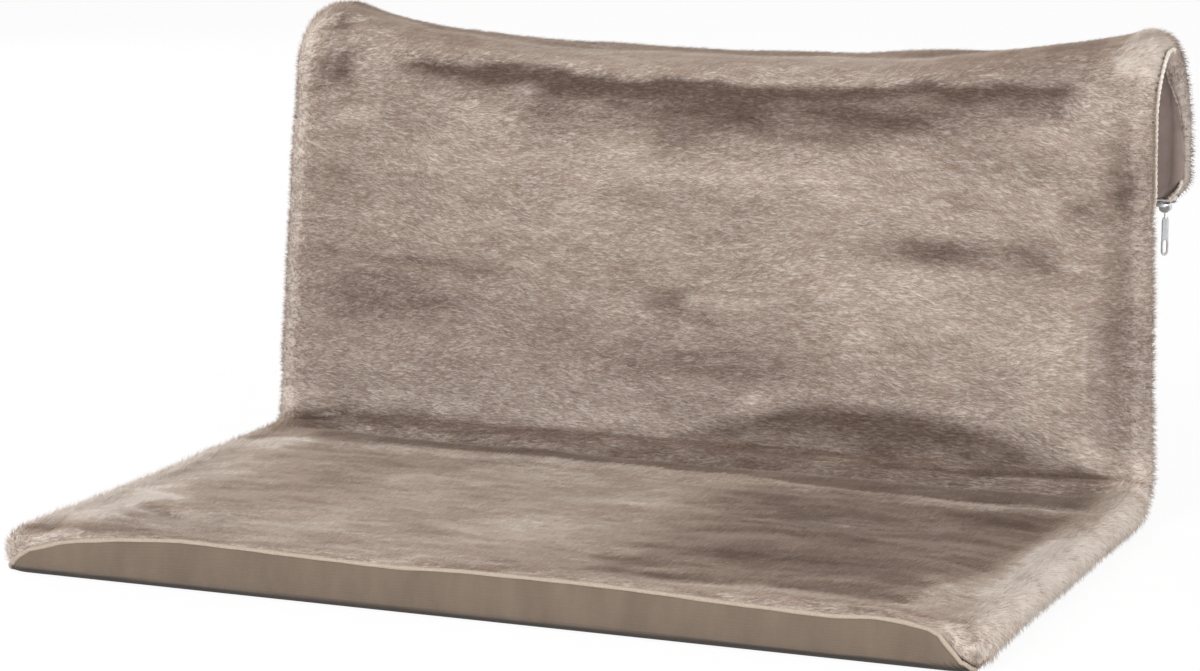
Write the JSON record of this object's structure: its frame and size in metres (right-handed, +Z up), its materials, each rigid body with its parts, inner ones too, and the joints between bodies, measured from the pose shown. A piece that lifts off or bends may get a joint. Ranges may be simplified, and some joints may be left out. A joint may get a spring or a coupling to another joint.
{
  "type": "cat hammock",
  "caption": "Padded plush cat bed whose seat and back are held by a bent tube frame with a hook that goes over a radiator; the sleeve closes with a zip.",
  "frame": {"origin": "on the floor under the middle of the whole hammock, with the underside of the seat on the floor", "axes": "+X to the hammock's right as seen from the front of the seat, +Y from the seat towards the radiator, +Z up"},
  "size_m": [0.4592, 0.3781, 0.23],
  "materials": {
    "plush": "short-pile plush, brushed",
    "lining": "plain woven",
    "welt": "rolled edge of the plush's backing",
    "foam": "open-cell foam",
    "wadding": "polyester wadding",
    "frame_paint": "powder coat, satin",
    "zinc_steel": "bright zinc plate",
    "zip_plastic": "nylon coil",
    "zip_tape": "woven tape",
    "nickel": "nickel plate, polished"
  },
  "bodies": {
    "hammock": {"front_frame_tube": "frame_paint", "hook_frame_tube": "frame_paint", "left_elbow_tube": "frame_paint", "right_elbow_tube": "frame_paint", "left_seat_joint_screw": "zinc_steel", "left_back_joint_screw": "zinc_steel", "right_seat_joint_screw": "zinc_steel", "right_back_joint_screw": "zinc_steel", "left_bar_screw": "zinc_steel", "right_bar_screw": "zinc_steel", "crease_cross_bar": "frame_paint", "seat_plush_panel": "plush", "back_plush_panel": "plush", "hook_plush_panel": "plush", "seat_lining_panel": "lining", "back_lining_panel": "lining", "hook_lining_panel": "lining", "left_side_welt": "welt", "right_side_welt": "welt", "front_welt": "welt", "seat_foam_pad": "foam", "back_wadding": "wadding", "zip_coil_outer": "zip_plastic", "zip_tape_outer": "zip_tape", "zip_coil_inner": "zip_plastic", "zip_tape_inner": "zip_tape", "zip_stop_left": "nickel", "zip_stop_right": "nickel"},
    "slider": {"zip_slider": "nickel"},
    "pull": {"zip_pull": "nickel"}
  },
  "joints": [
    {"name": "zip_slide", "type": "slide", "parent": "hammock", "child": "slider", "axis": [1, 0, 0], "range_m": [-0.411, 0]},
    {"name": "pull_swing", "type": "hinge", "parent": "slider", "child": "pull", "pos_m": [0.2092, 0.17866, 0.13705], "axis": [0, 1, 0], "range_deg": [-88, 88]}
  ]
}
